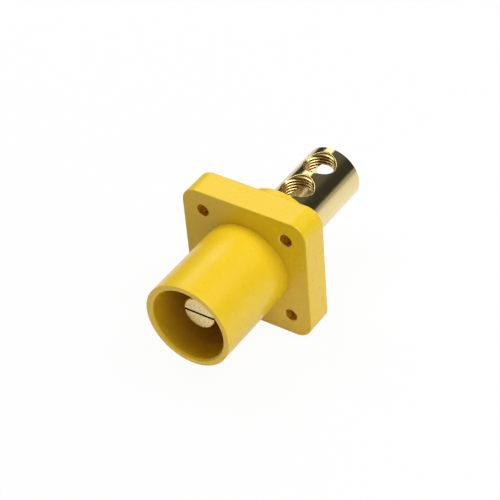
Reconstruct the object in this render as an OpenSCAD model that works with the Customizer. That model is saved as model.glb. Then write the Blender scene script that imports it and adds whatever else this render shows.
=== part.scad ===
// Single-pole panel receptacle: a moulded insulator with a square flange, and a turned
// contact with a split pin in front and a cable barrel for two set screws behind.
// The connector's axis lies along Y. The mating side faces -Y, the cable leaves along +Y
// and the set-screw holes open upward. The origin is the middle of the face of the flange
// that sits on the panel.

/* [Flange] */
// Spacing of the four fixing holes, across and up
hole_pitch = 34.2; // [30:0.1:44]
// Distance from a fixing hole's centre to the side of the flange
hole_edge = 8.3; // [6:0.05:12]
// Diameter of a fixing hole
hole_d = 4.8; // [4:0.1:6.5]
// Bevel at both mouths of a fixing hole
hole_bevel = 0.4; // [0.1:0.05:0.8]
// Thickness of the flange
flange_t = 11.7; // [9:0.1:16]
// Radius of the flange's corners, seen from the front
corner_r = 6.4; // [4:0.1:8]
// Rounding of the flange's front edges
front_round = 0.4; // [0.2:0.1:2]
// Rounding of the flange's rear edges
rear_round = 1; // [0.2:0.1:2]

/* [Shroud] */
// Outside diameter of the shroud
shroud_d = 33.8; // [30:0.1:38]
// Length of the shroud in front of the flange
shroud_l = 36.8; // [32:0.1:48]
// Thickness of the shroud's wall at its mouth
shroud_wall = 2.5; // [1.8:0.1:4]
// Draft of the socket: how much wider the mouth is than the floor
socket_draft = 0.8; // [0.2:0.1:1.6]
// Bevel round the socket's floor
floor_bevel = 1.2; // [0.5:0.1:2]
// Bevel inside the mouth
mouth_bevel = 0.6; // [0.2:0.1:1]
// Rounding of the rim's and the collar's outer edge
rim_round = 0.3; // [0.2:0.1:1]

/* [Rear collar] */
// Outside diameter of the collar that passes through the panel
collar_d = 33.9; // [30:0.1:40]
// Length of the collar behind the flange
collar_l = 10.7; // [8:0.1:20]
// How far the contact's seat lies in front of the panel face
seat_in = 1.9; // [0:0.1:3]
// Thickness of the web between that seat and the socket's floor
web_t = 7; // [4:0.5:8]

/* [Contact pin] */
// Diameter of the pin
pin_d = 12.8; // [10:0.1:15]
// How far the pin's end lies inside the rim
pin_recess = 7.2; // [3:0.1:12]
// Rounding of the pin's end
pin_round = 0.7; // [0.4:0.1:2]
// Width of the slit that splits the pin
slit_w = 0.9; // [0.5:0.1:1.6]
// Depth of the slit from the pin's end
slit_l = 24; // [12:0.5:26]

/* [Cable barrel] */
// Diameter of the barrel
barrel_d = 22.5; // [20:0.1:26]
// Length of the barrel behind the collar
barrel_l = 35.9; // [33:0.5:50]
// Bevel at the barrel's ends
barrel_bevel = 0.3; // [0.2:0.1:1]
// Diameter of the cable bore
bore_d = 11.8; // [11:0.1:13.4]
// Depth of the cable bore's full diameter
bore_l = 33; // [30:0.5:36]
// Angle of the drill point at the bore's end
bore_point = 118; // [90:1:140]
// Lead-in bevel at the bore's mouth
bore_bevel = 1.8; // [0.4:0.1:2.2]
// Depth of each of the two flats that keep the contact from turning
key_depth = 1.8; // [1:0.1:2.4]
// Length of the flats
key_l = 7; // [4:0.5:8]

/* [Set-screw holes] */
// Diameter of a set-screw hole, to the outside of its thread
screw_d = 12.5; // [9:0.1:12.8]
// Spacing of the two holes
screw_pitch = 14.9; // [13.6:0.1:18]
// Distance from the rear hole's centre to the barrel's end
screw_end = 9.2; // [7:0.1:12]
// Bevel at a hole's mouth
screw_bevel = 0.35; // [0.1:0.05:0.6]

/* [Retaining ring] */
// Thickness of the ring
ring_t = 1.2; // [0.8:0.1:1.6]
// How far the ring stands out from the pin
ring_lip = 2; // [1:0.1:3]
// Depth of the ring's groove in the pin
groove_depth = 0.7; // [0.4:0.1:1.2]
// Gap between the ring's ends
ring_gap = 5; // [3:0.5:8]

/* [Clearances] */
// Gap round the pin in the web
pin_gap = 0.15; // [0.05:0.05:0.3]
// Gap round the barrel and at its flats in the collar
barrel_gap = 0.15; // [0.05:0.05:0.3]
// Gap of the ring in its groove
groove_gap = 0.05; // [0.02:0.01:0.1]
// Gap behind the flats, so that the contact seats on the web alone
key_gap = 0.3; // [0.1:0.1:0.6]

/* [Hidden] */
$fn = 96;
// How far a cutter passes the face that it opens
over = 1;

flange_w = hole_pitch + 2 * hole_edge;
rim_y = -flange_t - shroud_l;
seat_y = -seat_in;
floor_y = seat_y - web_t;
key_y = seat_y + key_l;
end_y = collar_l + barrel_l;
tip_y = rim_y + pin_recess;
ring_y = floor_y - ring_t;

mouth_r = shroud_d / 2 - shroud_wall;
floor_r = mouth_r - socket_draft / 2;
pin_r = pin_d / 2;
barrel_r = barrel_d / 2;
bore_r = bore_d / 2;
groove_r = pin_r - groove_depth;
flats_w = barrel_d - 2 * key_depth;
screw_ys = [for (i = [0, 1]) end_y - screw_end - i * screw_pitch];

// Turns a half section about the connector's axis: its x is the radius, its y is the part's Y.
// The seam of the turned faces lies underneath, away from the slit.
module turned() {
    rotate([-90, 0, 0])
        rotate(90)
            rotate_extrude()
                children();
}

// Points a shape that stands on Z along Y instead, with its foot at y
module along_y(y) {
    translate([0, y, 0])
        rotate([-90, 0, 0])
            children();
}

// Half section of a bar of radius r from y0 to y1, with its outer edge rounded at y0
module round_bar(r, y0, y1, edge_r) {
    translate([0, y0])
        square([r - edge_r, edge_r]);
    translate([r - edge_r, y0 + edge_r])
        circle(edge_r);
    translate([0, y0 + edge_r])
        square([r, y1 - y0 - edge_r]);
}

// Half section of the flange's border: its front and rear edges are rounded
module border() {
    round_bar(corner_r, 0, flange_t / 2, front_round);
    translate([0, flange_t])
        mirror([0, 1])
            round_bar(corner_r, 0, flange_t / 2, rear_round);
}

// A square plate with rounded corners: a middle, four straight borders and four corner borders
module flange() {
    straight = flange_w - 2 * corner_r;
    along_y(-flange_t) {
        translate([-straight / 2, -straight / 2, 0])
            cube([straight, straight, flange_t]);
        for (a = [0:90:270])
            rotate(a) {
                translate([straight / 2, straight / 2, 0])
                    rotate_extrude(angle = 90)
                        border();
                translate([straight / 2, straight / 2, 0])
                    rotate([90, 0, 0])
                        linear_extrude(straight)
                            border();
            }
    }
}

// Cutter for one fixing hole, with a bevel at each face of the flange
module fixing_hole() {
    bevel_r = hole_d / 2 + hole_bevel + over;
    along_y(-flange_t - over)
        cylinder(d = hole_d, h = flange_t + 2 * over);
    along_y(-flange_t - over)
        cylinder(r1 = bevel_r, r2 = hole_d / 2, h = hole_bevel + over);
    along_y(-hole_bevel)
        cylinder(r1 = hole_d / 2, r2 = bevel_r, h = hole_bevel + over);
}

// Cutter for the socket in front, drafted as it is drawn off its core
module socket() {
    turned()
        polygon([
            [0, rim_y - over],
            [mouth_r + mouth_bevel + over, rim_y - over],
            [mouth_r, rim_y + mouth_bevel],
            [floor_r, floor_y - floor_bevel],
            [floor_r - floor_bevel, floor_y],
            [0, floor_y]
        ]);
}

// Cutter for the seat behind: the web's bore, a pocket with two flats and the collar's bore
module contact_seat() {
    pocket_r = barrel_r + barrel_gap;
    along_y(floor_y - over)
        cylinder(r = pin_r + pin_gap, h = web_t + 2 * over);
    intersection() {
        along_y(seat_y)
            cylinder(r = pocket_r, h = key_l + over);
        translate([-flats_w / 2 - barrel_gap, seat_y, -barrel_d])
            cube([flats_w + 2 * barrel_gap, key_l + over, 2 * barrel_d]);
    }
    along_y(key_y)
        cylinder(r = pocket_r, h = collar_l - key_y + over);
    along_y(collar_l - rim_round)
        cylinder(r1 = pocket_r, r2 = pocket_r + rim_round + over, h = rim_round + over);
}

module insulator() {
    color("#F4C91F")
        difference() {
            union() {
                flange();
                turned()
                    round_bar(shroud_d / 2, rim_y, -flange_t / 2, rim_round);
                turned()
                    mirror([0, 1])
                        round_bar(collar_d / 2, -collar_l, flange_t / 2, rim_round);
            }
            socket();
            contact_seat();
            for (x = [-1, 1], z = [-1, 1])
                translate([x * hole_pitch / 2, 0, z * hole_pitch / 2])
                    fixing_hole();
        }
}

// The contact as it comes off the lathe, with a groove for the ring
module turned_blank() {
    difference() {
        turned() {
            round_bar(pin_r, tip_y, seat_y + over, pin_round);
            polygon([
                [0, seat_y],
                [barrel_r - barrel_bevel, seat_y],
                [barrel_r, seat_y + barrel_bevel],
                [barrel_r, end_y - barrel_bevel],
                [barrel_r - barrel_bevel, end_y],
                [0, end_y]
            ]);
        }
        turned()
            translate([groove_r, ring_y - groove_gap])
                square([groove_depth + over, ring_t + 2 * groove_gap]);
    }
}

// Cutter for the cable bore, with its drill point and a lead-in bevel at the mouth
module cable_bore() {
    point_l = bore_r / tan(bore_point / 2);
    turned()
        polygon([
            [0, end_y - bore_l - point_l],
            [bore_r, end_y - bore_l],
            [bore_r, end_y - bore_bevel],
            [bore_r + bore_bevel + over, end_y + over],
            [0, end_y + over]
        ]);
}

// Cutter for one set-screw hole, from the cable bore up through the barrel's wall
module screw_hole() {
    screw_r = screw_d / 2;
    cylinder(r = screw_r, h = barrel_r + over);
    translate([0, 0, barrel_r - screw_bevel])
        cylinder(r1 = screw_r, r2 = screw_r + screw_bevel + over, h = screw_bevel + over);
}

module contact() {
    color("#E3CB8C")
        difference() {
            turned_blank();
            translate([-pin_d, tip_y - over, -slit_w / 2])
                cube([2 * pin_d, slit_l + over, slit_w]);
            for (side = [-1, 1])
                translate([side * (flats_w + barrel_d) / 2 - barrel_d / 2, seat_y - over, -barrel_d])
                    cube([barrel_d, over + key_l + key_gap, 2 * barrel_d]);
            cable_bore();
            for (y = screw_ys)
                translate([0, y, 0])
                    screw_hole();
        }
}

module retaining_ring() {
    color("#72747A")
        difference() {
            along_y(ring_y)
                difference() {
                    cylinder(r = pin_r + ring_lip, h = ring_t);
                    translate([0, 0, -over])
                        cylinder(r = groove_r + groove_gap, h = ring_t + 2 * over);
                }
            translate([-ring_gap / 2, ring_y - over, -pin_r - ring_lip - over])
                cube([ring_gap, ring_t + 2 * over, pin_r + ring_lip + over]);
        }
}

insulator();
contact();
retaining_ring();
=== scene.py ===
"""Single-pole power receptacle in yellow thermoplastic, dressed for a studio picture."""
from math import radians

import bmesh
import bpy
import numpy as np
from mathutils import Matrix, Vector


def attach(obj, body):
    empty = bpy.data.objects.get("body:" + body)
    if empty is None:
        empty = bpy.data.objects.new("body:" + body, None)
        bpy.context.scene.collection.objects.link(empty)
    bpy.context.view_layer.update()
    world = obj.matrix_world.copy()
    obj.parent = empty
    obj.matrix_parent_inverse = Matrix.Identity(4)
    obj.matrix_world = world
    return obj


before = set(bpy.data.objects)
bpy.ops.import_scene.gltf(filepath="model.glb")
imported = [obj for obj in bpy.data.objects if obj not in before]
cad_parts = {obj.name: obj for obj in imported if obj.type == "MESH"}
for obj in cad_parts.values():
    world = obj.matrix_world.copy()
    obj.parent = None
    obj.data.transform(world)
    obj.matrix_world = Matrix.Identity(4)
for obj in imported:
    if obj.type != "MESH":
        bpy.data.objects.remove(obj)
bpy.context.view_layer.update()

MM = 0.001

# Sizes repeated from the part's source, in mm
BARREL_R = 11.25
BORE_R = 5.9
BORE_POINT = 10.05
SCREW_R = 6.25
SCREW_BEVEL = 0.35
SCREW_YS = {"rear": 37.4, "front": 22.5}
FLANGE_HALF = 25.4
HOLE_PITCH = 34.2
HOLE_R = 2.4
HOLE_BEVEL = 0.4
RIM = -48.5
SOCKET_R = 14.4
SOCKET_FLOOR = -8.9
MOUTH_BEVEL = 0.6
PIN_END = -41.3
SLIT_HALF = 0.45
SLIT_BACK = -17.3

# Small distances in mm that keep a finish, or a face, from ending on the very face that it meets
HAIR = 0.05
FINE_HAIR = 0.01

# How far a finish reaches from the face that it starts at, in mm: the painted light on the rim, the
# socket's wall behind its mouth, over which painted shade deepens, and the facing cut over the
# pin's rounded edge
RIM_LIGHT_REACH = 0.5
SHADE_REACH = 10.0
FACING = 0.3

# A fine thread of 20 to the inch, cut at 60 degrees. Its flats are shares of the pitch
THREAD_PITCH = 25.4 / 20
THREAD_DEPTH = 0.78
ROOT_FLAT = 1 / 8
CREST_FLAT = 1 / 4
# The painted shade in its roots is at its brownest this far inside the hole's radius
ROOT_SHADE_FULL = 0.25

# Half the width of the bright edge round a hole's mouth, how far its middle lies below the barrel's
# surface, as a share of that, and how far it sinks at the front
LIP_R = 0.22
LIP_SEAT = 0.9
LIP_SINK = 0.4

# Height of the bump in a finish, in mm
BUMP = 0.1
# Points closer than this, in mm, are merged, and edges that turn by more degrees stay sharp
MERGE = 0.001
CREASE = 60


def colour(hex_code):
    """An sRGB hex value as linear RGBA."""
    srgb = np.array([int(hex_code[i:i + 2], 16) for i in (1, 3, 5)]) / 255
    linear = np.where(srgb <= 0.04045, srgb / 12.92, ((srgb + 0.055) / 1.055) ** 2.4)
    return (*linear.tolist(), 1.0)


def add(tree, kind, inputs=None, **settings):
    """Adds a node. An input that is given a socket is linked to it, and any other value is set."""
    made = tree.nodes.new("ShaderNode" + kind)
    for name, value in settings.items():
        setattr(made, name, value)
    for key, value in (inputs or {}).items():
        if isinstance(value, bpy.types.NodeSocket):
            tree.links.new(value, made.inputs[key])
        else:
            made.inputs[key].default_value = value
    return made


def new_material(name):
    """An empty material: its tree, its shader and its position in the part, in mm."""
    material = bpy.data.materials.new(name)
    material.use_nodes = True
    tree = material.node_tree
    tree.nodes.clear()
    shader = add(tree, "BsdfPrincipled")
    add(tree, "OutputMaterial", {"Surface": shader.outputs[0]})
    place = add(tree, "TexCoord").outputs["Object"]
    in_mm = add(tree, "VectorMath", {0: place, "Scale": 1 / MM}, operation="SCALE")
    return material, tree, shader, in_mm.outputs["Vector"]


def axis_place(tree, mm):
    """A point's X, Y and Z, and its distance from the connector's axis, which lies along Y."""
    parts = add(tree, "SeparateXYZ", {"Vector": mm}).outputs
    flat = add(tree, "CombineXYZ", {"X": parts["X"], "Z": parts["Z"]})
    radius = add(tree, "VectorMath", {0: flat.outputs["Vector"]}, operation="LENGTH")
    return parts["X"], parts["Y"], parts["Z"], radius.outputs["Value"]


def ray_origin(tree):
    """Whether a ray comes from the camera, and whether it comes from a mirror or through glass."""
    ray = add(tree, "LightPath").outputs
    mirrored = add(tree, "Math", {
        0: ray["Is Glossy Ray"],
        1: ray["Is Transmission Ray"],
    }, operation="MAXIMUM")
    return ray["Is Camera Ray"], mirrored.outputs[0]


def moulded_plastic():
    """Yellow PBT from a fine-blasted mould: even pigment, satin skin and a broad soft highlight."""
    material, tree, shader, mm = new_material("PBT yellow satin moulded")
    x, y, z, radius = axis_place(tree, mm)

    # Pigment clouds of about 9 mm, hardly to be seen, where the melt flowed in
    clouds = add(tree, "TexNoise", {"Vector": mm, "Scale": 1 / 9, "Detail": 3.0})
    pigment = add(tree, "Mix", {
        "Factor": clouds.outputs["Fac"],
        "A": colour("#EFC81D"),
        "B": colour("#F4CF24"),
    }, data_type="RGBA")

    # Painted shade darkens the walls of the four fixing holes, which are rougher too, and a painted
    # highlight makes their bevels paler
    across = add(tree, "Math", {0: x}, operation="ABSOLUTE")
    up = add(tree, "Math", {0: z}, operation="ABSOLUTE")
    hole_x = add(tree, "Math", {0: across.outputs[0], 1: HOLE_PITCH / 2}, operation="SUBTRACT")
    hole_z = add(tree, "Math", {0: up.outputs[0], 1: HOLE_PITCH / 2}, operation="SUBTRACT")
    from_hole = add(tree, "CombineXYZ", {"X": hole_x.outputs[0], "Z": hole_z.outputs[0]})
    off_axis = add(tree, "VectorMath", {0: from_hole.outputs["Vector"]}, operation="LENGTH")
    drilled = add(tree, "Math", {
        0: off_axis.outputs["Value"],
        1: HOLE_R + HAIR,
    }, operation="LESS_THAN")
    bevelled = add(tree, "Math", {
        0: off_axis.outputs["Value"],
        1: HOLE_R + HOLE_BEVEL,
    }, operation="LESS_THAN")
    bevel_highlight = add(tree, "Mix", {
        "Factor": bevelled.outputs[0],
        "A": pigment.outputs["Result"],
        "B": colour("#FFDE60"),
    }, data_type="RGBA")
    # Chips of about 0.8 mm mottle the painted shade on the wall
    chips = add(tree, "TexNoise", {"Vector": mm, "Scale": 1 / 0.8, "Detail": 2.0})
    torn = add(tree, "MapRange", {
        "Value": chips.outputs["Fac"],
        "From Min": 0.44,
        "From Max": 0.62,
    })
    painted_hole_shade = add(tree, "Mix", {
        "Factor": torn.outputs["Result"],
        "A": colour("#BA8606"),
        "B": colour("#FFCA32"),
    }, data_type="RGBA")
    holes_shaded = add(tree, "Mix", {
        "Factor": drilled.outputs[0],
        "A": bevel_highlight.outputs["Result"],
        "B": painted_hole_shade.outputs["Result"],
    }, data_type="RGBA")

    # Painted light brightens the socket's wall near the mouth, and painted shade darkens it behind
    # that, deeper in
    inside = add(tree, "Math", {0: radius, 1: SOCKET_R + MOUTH_BEVEL / 2}, operation="LESS_THAN")
    in_front = add(tree, "Math", {0: y, 1: SOCKET_FLOOR + 2 * HAIR}, operation="LESS_THAN")
    socket = add(tree, "Math", {0: inside.outputs[0], 1: in_front.outputs[0]}, operation="MULTIPLY")
    shade_depth = add(tree, "MapRange", {"Value": y, "From Min": RIM, "From Max": RIM + SHADE_REACH})
    socket_shade = add(tree, "Mix", {
        "Factor": shade_depth.outputs["Result"],
        "A": colour("#FFD022"),
        "B": colour("#D4A026"),
    }, data_type="RGBA")
    socket_shaded = add(tree, "Mix", {
        "Factor": socket.outputs[0],
        "A": holes_shaded.outputs["Result"],
        "B": socket_shade.outputs["Result"],
    }, data_type="RGBA")
    # Painted light makes the rim's face paler
    rim_light = add(tree, "MapRange", {"Value": y, "From Min": RIM + RIM_LIGHT_REACH, "From Max": RIM})
    rim_lit = add(tree, "Mix", {
        "Factor": rim_light.outputs["Result"],
        "A": socket_shaded.outputs["Result"],
        "B": colour("#FFD234"),
    }, data_type="RGBA")
    tree.links.new(rim_lit.outputs["Result"], shader.inputs["Base Color"])

    # The blasted grain is about 0.1 mm, drawn at 0.8 mm so that it shows
    grain = add(tree, "TexNoise", {"Vector": mm, "Scale": 1 / 0.8, "Detail": 1.0})
    bump = add(tree, "Bump", {
        "Strength": 0.018,
        "Distance": BUMP * MM,
        "Height": grain.outputs["Fac"],
    })
    tree.links.new(bump.outputs["Normal"], shader.inputs["Normal"])

    # Handling leaves patches of 5 mm a little shinier than the rest, and the drilled walls are dull
    patches = add(tree, "TexNoise", {"Vector": mm, "Scale": 1 / 5, "Detail": 2.0})
    satin = add(tree, "MapRange", {
        "Value": patches.outputs["Fac"],
        "To Min": 0.24,
        "To Max": 0.32,
    })
    gloss = add(tree, "Mix", {
        "Factor": drilled.outputs[0],
        "A": satin.outputs["Result"],
        "B": 0.65,
    })
    tree.links.new(gloss.outputs["Result"], shader.inputs["Roughness"])
    shader.inputs["IOR"].default_value = 1.5
    return material


def plated_brass(name, rough, line_height=0.0, shaded_roots=False):
    """Brass with a bright gold plate: a clear mirror, drawn out a little by the tool's lines.

    The sawn slit is dull, and darkened with painted shade. The drilled bore is rougher, and
    paler with painted light. Painted shade browns the roots of a thread.
    """
    material, tree, shader, mm = new_material(name)
    shader.inputs["Metallic"].default_value = 1.0
    x, y, z, radius = axis_place(tree, mm)

    # The plate is a little paler in patches of about 4 mm
    patches = add(tree, "TexNoise", {"Vector": mm, "Scale": 1 / 4, "Detail": 3.0})
    plate = add(tree, "Mix", {
        "Factor": patches.outputs["Fac"],
        "A": colour("#EFDA9C"),
        "B": colour("#F3DFA4"),
    }, data_type="RGBA")

    # The pin's end is faced more coarsely than the bar is turned, which leaves torn specks of
    # about 0.7 mm
    faced = add(tree, "Math", {0: y, 1: PIN_END + FACING}, operation="LESS_THAN")
    flecks = add(tree, "TexNoise", {"Vector": mm, "Scale": 1 / 0.7, "Detail": 3.0})
    torn = add(tree, "MapRange", {
        "Value": flecks.outputs["Fac"],
        "From Min": 0.42,
        "From Max": 0.6,
    })
    specks = add(tree, "Math", {
        0: torn.outputs["Result"],
        1: faced.outputs[0],
    }, operation="MULTIPLY")
    speckled = add(tree, "Mix", {
        "Factor": specks.outputs[0],
        "A": plate.outputs["Result"],
        "B": colour("#D2BB80"),
    }, data_type="RGBA")
    base = speckled.outputs["Result"]
    if shaded_roots:
        # Painted shade browns the roots of both threads: what lies outside the crests, round the
        # axis of the nearer hole
        middle = (SCREW_YS["rear"] + SCREW_YS["front"]) / 2
        from_middle = add(tree, "Math", {0: y, 1: middle}, operation="SUBTRACT")
        either_way = add(tree, "Math", {0: from_middle.outputs[0]}, operation="ABSOLUTE")
        from_hole = add(tree, "Math", {
            0: either_way.outputs[0],
            1: SCREW_YS["rear"] - middle,
        }, operation="SUBTRACT")
        level = add(tree, "CombineXYZ", {"X": x, "Y": from_hole.outputs[0]})
        off_axis = add(tree, "VectorMath", {0: level.outputs["Vector"]}, operation="LENGTH")
        root = add(tree, "MapRange", {
            "Value": off_axis.outputs["Value"],
            "From Min": SCREW_R - THREAD_DEPTH,
            "From Max": SCREW_R - ROOT_SHADE_FULL,
        })
        roots_shaded = add(tree, "Mix", {
            "Factor": root.outputs["Result"],
            "A": base,
            "B": colour("#C8984C"),
        }, data_type="RGBA")
        base = roots_shaded.outputs["Result"]

    # Turned lines run round the axis: they follow Y on the bar and the radius on its end faces.
    # A tool's feed is about 0.1 mm, drawn at 0.4 mm so that it shows
    feed = add(tree, "Math", {0: y, 1: radius}, operation="ADD")
    lines = add(tree, "TexNoise", {
        "W": feed.outputs["Value"],
        "Scale": 1 / 0.4,
        "Detail": 2.0,
    }, noise_dimensions="1D")
    turned = add(tree, "Bump", {
        "Strength": line_height,
        "Distance": BUMP * MM,
        "Height": lines.outputs["Fac"],
    })
    # Handling marks of about 0.7 mm break up what the metal mirrors
    marked = add(tree, "Bump", {
        "Strength": 0.05,
        "Distance": BUMP * MM,
        "Height": flecks.outputs["Fac"],
        "Normal": turned.outputs["Normal"],
    })
    tree.links.new(marked.outputs["Normal"], shader.inputs["Normal"])

    # The slit lies about the middle plane, behind the pin's end face
    off_plane = add(tree, "Math", {0: z}, operation="ABSOLUTE")
    thin = add(tree, "Math", {
        0: off_plane.outputs[0],
        1: SLIT_HALF + FINE_HAIR,
    }, operation="LESS_THAN")
    ahead = add(tree, "Math", {0: y, 1: SLIT_BACK + FINE_HAIR}, operation="LESS_THAN")
    behind_face = add(tree, "Math", {0: y, 1: PIN_END + HAIR}, operation="GREATER_THAN")
    sawn = add(tree, "Math", {0: thin.outputs[0], 1: ahead.outputs[0]}, operation="MULTIPLY")
    slit = add(tree, "Math", {0: sawn.outputs[0], 1: behind_face.outputs[0]}, operation="MULTIPLY")
    # Painted shade darkens the slit
    slit_shaded = add(tree, "Mix", {
        "Factor": slit.outputs[0],
        "A": base,
        "B": colour("#3B2A14"),
    }, data_type="RGBA")

    # The bore is what lies about the axis, behind the drill's point
    near = add(tree, "Math", {0: radius, 1: BORE_R + 2 * HAIR}, operation="LESS_THAN")
    rear = add(tree, "Math", {0: y, 1: BORE_POINT - HAIR}, operation="GREATER_THAN")
    bore = add(tree, "Math", {0: near.outputs[0], 1: rear.outputs[0]}, operation="MULTIPLY")
    # Painted light makes the bore paler
    bore_lit = add(tree, "Mix", {
        "Factor": bore.outputs[0],
        "A": slit_shaded.outputs["Result"],
        "B": colour("#FCEBC0"),
    }, data_type="RGBA")
    tree.links.new(bore_lit.outputs["Result"], shader.inputs["Base Color"])

    # The bore, the slit and the faced end are all cut to the same dull finish
    raw = add(tree, "Math", {0: bore.outputs[0], 1: slit.outputs[0]}, operation="MAXIMUM")
    dull = add(tree, "Math", {0: raw.outputs[0], 1: faced.outputs[0]}, operation="MAXIMUM")
    wear = add(tree, "MapRange", {
        "Value": patches.outputs["Fac"],
        "To Min": rough * 0.8,
        "To Max": rough * 1.25,
    })
    cut = add(tree, "Mix", {"Factor": dull.outputs[0], "A": wear.outputs["Result"], "B": 0.26})
    tree.links.new(cut.outputs["Result"], shader.inputs["Roughness"])
    return material


def spring_steel():
    """Spring steel, oil-blackened: dark, with a soft sheen and a stamped grain of 0.8 mm."""
    material, tree, shader, mm = new_material("spring steel oil blackened")
    shader.inputs["Metallic"].default_value = 1.0
    grain = add(tree, "TexNoise", {"Vector": mm, "Scale": 1 / 0.8, "Detail": 4.0})
    skin = add(tree, "Mix", {
        "Factor": grain.outputs["Fac"],
        "A": colour("#5E5F62"),
        "B": colour("#85878B"),
    }, data_type="RGBA")
    tree.links.new(skin.outputs["Result"], shader.inputs["Base Color"])
    sheen = add(tree, "MapRange", {"Value": grain.outputs["Fac"], "To Min": 0.3, "To Max": 0.5})
    tree.links.new(sheen.outputs["Result"], shader.inputs["Roughness"])
    return material


def closed_piece(name, points, material):
    """A piece from a grid of points: its rows are closed sections, and the last lies on the first.

    Its faces are turned so that it holds a positive volume. Points that meet, at the seam and
    where lines of the grid run out, are merged.
    """
    rows, columns = points.shape[:2]
    index = np.arange(rows * columns).reshape(rows, columns)
    here, ahead = index[:-1], index[1:]
    quads = np.stack([here, ahead, np.roll(ahead, -1, 1), np.roll(here, -1, 1)], -1).reshape(-1, 4)
    flat = points.reshape(-1, 3) * MM
    a, b, c, d = (flat[quads[:, i]] for i in range(4))
    volume = (np.cross(b - a, c - a) * a).sum() + (np.cross(c - a, d - a) * a).sum()
    if volume < 0:
        quads = quads[:, ::-1]
    mesh = bpy.data.meshes.new(name)
    mesh.from_pydata(flat.tolist(), [], quads.tolist())
    shape = bmesh.new()
    shape.from_mesh(mesh)
    bmesh.ops.remove_doubles(shape, verts=shape.verts, dist=MERGE * MM)
    bmesh.ops.dissolve_degenerate(shape, edges=shape.edges, dist=MERGE * MM)
    shape.to_mesh(mesh)
    shape.free()
    mesh.shade_smooth()
    mesh.set_sharp_from_angle(angle=radians(CREASE))
    mesh.materials.append(material)
    piece = bpy.data.objects.new(name, mesh)
    bpy.context.scene.collection.objects.link(piece)
    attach(piece, "root")


def thread_ridge(phase):
    """Height of a thread's ridge from 0 to 1 by phase, which is 0 in the middle of the root.

    Straight flanks join a flat root to a flat crest, averaged over a tenth of the pitch to break
    the corners.
    """
    shifts = np.linspace(-0.05, 0.05, 9).reshape(-1, *[1] * phase.ndim)
    from_root = 0.5 - np.abs((phase + shifts) % 1.0 - 0.5)
    flank = (1 - ROOT_FLAT - CREST_FLAT) / 2
    return np.clip((from_root - ROOT_FLAT / 2) / flank, 0, 1).mean(0)


def thread_shell(centre_y, turns=200, steps=28):
    """Grid of a thread's shell, by angle round the hole and by place round the shell's section.

    Lines of the inner wall climb one pitch in a turn, so that they run along the thread. A line's
    radius is the hole's radius less the ridge at the line's phase. Lines stop at the cable bore
    below and at the barrel's outside above, where height is the root of that radius squared less
    x squared. The ridge runs out in a 45 degree lead-in at the mouth, and below where it meets
    the bore's wall: there x is the root of the bore's radius squared less the height squared.
    """
    pitches = int(np.ceil(BARREL_R / THREAD_PITCH))
    lines = np.arange(-steps, pitches * steps + 1) / steps
    angle, line = np.meshgrid(np.linspace(0, 2 * np.pi, turns + 1), lines, indexing="ij")
    climb = angle / (2 * np.pi)
    across = SCREW_R * np.cos(angle)
    low = np.sqrt(np.maximum(BORE_R ** 2 - across ** 2, 0))
    high = np.minimum(np.sqrt(BARREL_R ** 2 - across ** 2), BARREL_R - SCREW_BEVEL)
    height = np.clip(THREAD_PITCH * (line + climb), low, high)
    ridge = THREAD_DEPTH * thread_ridge(height / THREAD_PITCH - climb)
    lead_in = high - height
    bore_x = np.sqrt(np.maximum(BORE_R ** 2 - height ** 2, 0))
    bore_wall = bore_x / np.maximum(np.abs(np.cos(angle)), 1e-6)
    outside = SCREW_R - FINE_HAIR
    root = outside - FINE_HAIR
    radius = np.maximum(root - np.minimum(ridge, lead_in), np.minimum(bore_wall, root))
    # Two more lines, at the top and the bottom, make the outer wall
    ends = np.stack([high[:, 0], low[:, 0]], 1)
    radius = np.concatenate([radius, np.full_like(ends, outside)], 1)
    height = np.concatenate([height, ends], 1)
    angle = np.concatenate([angle, angle[:, :2]], 1)
    return np.stack([radius * np.cos(angle), centre_y + radius * np.sin(angle), height], -1)


def hole_lip(centre_y, turns=200, steps=16):
    """Grid of the bright edge that the tap rolls over round a hole's mouth.

    It is a round bead carried along the line where the hole meets the barrel, with its top about
    level with the barrel. The line's height is the root of the barrel's radius squared less x
    squared, and its front half sinks by the sine of the angle.
    """
    angle, turn = np.meshgrid(np.linspace(0, 2 * np.pi, turns + 1),
                              np.linspace(0, 2 * np.pi, steps, endpoint=False), indexing="ij")
    radius = SCREW_R + LIP_R * np.cos(turn)
    height = np.sqrt(BARREL_R ** 2 - (SCREW_R * np.cos(angle)) ** 2)
    height += LIP_R * (np.sin(turn) - LIP_SEAT)
    height -= LIP_SINK * np.maximum(-np.sin(angle), 0)
    return np.stack([radius * np.cos(angle), centre_y + radius * np.sin(angle), height], -1)


def softbox(name, place, side, watts):
    """A square soft light at a place in mm that faces the part."""
    lamp = bpy.data.lights.new(name, "AREA")
    lamp.shape = "SQUARE"
    lamp.size = side * MM
    lamp.energy = watts
    light = bpy.data.objects.new(name, lamp)
    light.location = Vector(place) * MM
    light.rotation_euler = (-Vector(place)).to_track_quat("-Z", "Y").to_euler()
    bpy.context.scene.collection.objects.link(light)


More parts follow.
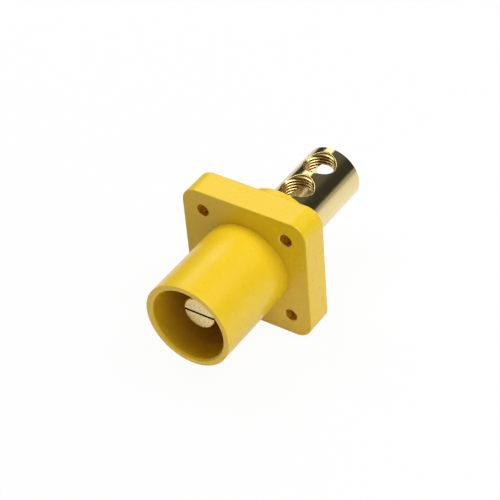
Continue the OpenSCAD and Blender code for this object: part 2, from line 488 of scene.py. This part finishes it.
def pale_floor(half, level):
    """A white paper floor that shows as white, keeps a faint shadow and lights the part."""
    mesh = bpy.data.meshes.new("pale_floor")
    corners = np.array([(-half, -half, level), (half, -half, level),
                        (half, half, level), (-half, half, level)]) * MM
    mesh.from_pydata(corners.tolist(), [], [(0, 1, 2, 3)])
    material = bpy.data.materials.new("white paper matt")
    material.use_nodes = True
    tree = material.node_tree
    tree.nodes.clear()
    paper = add(tree, "BsdfDiffuse", {"Color": colour("#EDEDED")})
    from_camera, mirrored = ray_origin(tree)
    spot = add(tree, "TexCoord").outputs["Object"]
    far = add(tree, "VectorMath", {0: spot}, operation="LENGTH")

    # The paper's own white shows more than its shading does: to the camera nearly alone, and
    # wholly so far away, where no edge is to show, and less where the part mirrors it
    blank = add(tree, "MapRange", {
        "Value": far.outputs["Value"],
        "From Min": 100 * MM,
        "From Max": 500 * MM,
        "To Min": 0.95,
        "To Max": 1.0,
    })
    seen = add(tree, "Math", {0: from_camera, 1: blank.outputs["Result"]}, operation="MULTIPLY")
    in_metal = add(tree, "Math", {0: mirrored, 1: 0.6}, operation="MULTIPLY")
    share = add(tree, "Math", {0: in_metal.outputs[0], 1: seen.outputs[0]}, operation="MAXIMUM")

    # What the part mirrors is dimmer far away, a painted falloff, and darkened on the left of the
    # shroud by a painted shadow
    dims = add(tree, "MapRange", {
        "Value": far.outputs["Value"],
        "From Min": 60 * MM,
        "From Max": 400 * MM,
        "To Min": 1.0,
        "To Max": 0.35,
    })
    from_painted_shadow = add(tree, "VectorMath", {
        0: spot,
        1: Vector((-48, -46, level)) * MM,
    }, operation="DISTANCE")
    painted_shadow = add(tree, "MapRange", {
        "Value": from_painted_shadow.outputs["Value"],
        "From Min": 18 * MM,
        "From Max": 34 * MM,
        "To Min": 0.1,
        "To Max": 1.0,
    })
    glow = add(tree, "Math", {
        0: dims.outputs["Result"],
        1: painted_shadow.outputs["Result"],
    }, operation="MULTIPLY")
    strength = add(tree, "Math", {0: glow.outputs[0], 1: from_camera}, operation="MAXIMUM")
    white = add(tree, "Emission", {"Strength": strength.outputs[0]})
    mixed = add(tree, "MixShader", {0: share.outputs[0], 1: paper.outputs[0], 2: white.outputs[0]})
    add(tree, "OutputMaterial", {"Surface": mixed.outputs[0]})
    material.cycles.emission_sampling = "NONE"
    mesh.materials.append(material)
    floor = bpy.data.objects.new("pale_floor", mesh)
    bpy.context.scene.collection.objects.link(floor)


def studio_world(fill):
    """White to the camera, an even fill for matt faces, and a dark room over a sweep for metal."""
    world = bpy.data.worlds.new("studio")
    world.use_nodes = True
    tree = world.node_tree
    tree.nodes.clear()
    from_camera, mirrored = ray_origin(tree)

    # The sweep's edge lies higher on the right than on the left. Over it the room is dark, and a
    # little lighter again towards the ceiling
    way = add(tree, "TexCoord").outputs["Generated"]
    above = add(tree, "VectorMath", {0: way, 1: (-0.12, 0.0, 1.0)}, operation="DOT_PRODUCT")
    over_edge = add(tree, "Math", {0: above.outputs["Value"], 1: 0.094}, operation="ADD")
    rise = add(tree, "ValToRGB", {"Fac": over_edge.outputs[0]})
    sweep = 0.42
    dark = 0.035
    ceiling = 0.11
    stops = rise.color_ramp.elements
    stops[0].position = 0.06
    stops[0].color = (sweep, sweep, sweep, 1)
    stops[1].position = 0.8
    stops[1].color = (ceiling, ceiling, ceiling, 1)
    for height in (0.17, 0.6):
        stops.new(height).color = (dark, dark, dark, 1)
    lit = add(tree, "Mix", {
        "Factor": mirrored,
        "A": (fill, fill, fill, 1),
        "B": rise.outputs["Color"],
    }, data_type="RGBA")
    shown = add(tree, "Mix", {
        "Factor": from_camera,
        "A": lit.outputs["Result"],
        "B": (1, 1, 1, 1),
    }, data_type="RGBA")
    sky = add(tree, "Background", {"Color": shown.outputs["Result"]})
    add(tree, "OutputWorld", {"Surface": sky.outputs[0]})
    world.cycles.sampling_method = "NONE"
    bpy.context.scene.world = world


def place_camera(aim, distance, azimuth, elevation, roll, lens):
    """A camera that looks at a point from a distance in mm, along +Y at azimuth 0 and down."""
    data = bpy.data.cameras.new("camera")
    data.sensor_width = 36.0
    data.lens = lens
    turn = (Matrix.Rotation(radians(azimuth), 4, "Z")
            @ Matrix.Rotation(radians(90 - elevation), 4, "X")
            @ Matrix.Rotation(radians(roll), 4, "Z"))
    camera = bpy.data.objects.new("camera", data)
    camera.matrix_world = (Matrix.Translation(Vector(aim) * MM) @ turn
                           @ Matrix.Translation((0, 0, distance * MM)))
    bpy.context.scene.collection.objects.link(camera)
    bpy.context.scene.camera = camera


place_camera(
    aim=(-3.778, -4.029, -1.146),
    distance=645.37,
    azimuth=36.679,
    elevation=40.382,
    roll=-5.208,
    lens=131.40,
)

finishes = {
    "insulator": moulded_plastic(),
    "contact": plated_brass("brass gold plated bright turned", rough=0.13, line_height=0.05),
    "retaining_ring": spring_steel(),
}
for node, finish in finishes.items():
    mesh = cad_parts[node].data
    mesh.materials.clear()
    mesh.materials.append(finish)

thread_finish = plated_brass("brass gold plated cut thread", rough=0.3, shaded_roots=True)
lip_finish = plated_brass("brass gold plated rolled edge", rough=0.3)
for end, centre_y in SCREW_YS.items():
    closed_piece(end + "_screw_thread", thread_shell(centre_y), thread_finish)
    closed_piece(end + "_hole_lip", hole_lip(centre_y), lip_finish)

# The floor lies a hair below the flange, so that their faces do not coincide
pale_floor(half=1500.0, level=-FLANGE_HALF - HAIR)
studio_world(fill=0.17)
softbox("softbox overhead right", place=(450, 100, 780), side=500, watts=5.6)
softbox("softbox overhead left", place=(-450, 100, 780), side=500, watts=3.0)
softbox("softbox front right", place=(640, -600, 230), side=500, watts=0.68)
softbox("softbox behind left", place=(-420, 590, 540), side=360, watts=0.55)

bpy.context.scene.view_settings.view_transform = "Standard"
